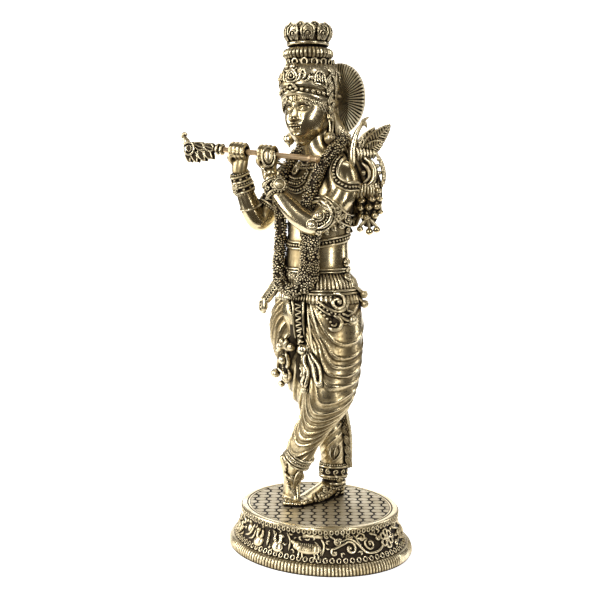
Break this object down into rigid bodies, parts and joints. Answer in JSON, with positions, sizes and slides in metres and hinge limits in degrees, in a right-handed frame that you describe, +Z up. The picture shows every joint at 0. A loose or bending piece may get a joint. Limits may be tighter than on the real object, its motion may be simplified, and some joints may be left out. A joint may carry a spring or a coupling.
{
  "type": "krishna figure",
  "caption": "Small cast brass figure of a standing flute player with crown, halo and garland, ankles crossed, on an oval plinth with a carved band.",
  "frame": {"origin": "centre of the plinth's flat underside", "axes": "+Z up, -Y the way the figure faces, +X towards the figure's left hand"},
  "size_m": [0.0861, 0.066, 0.2],
  "materials": {
    "antique_brass": "polished on the raised parts, dark patina in the recesses",
    "copper_brass": "satin, slightly copper toned, dark patina in the recesses"
  },
  "bodies": {
    "root": {"plinth": "antique_brass", "figure": "antique_brass", "flute": "copper_brass"}
  },
  "joints": []
}
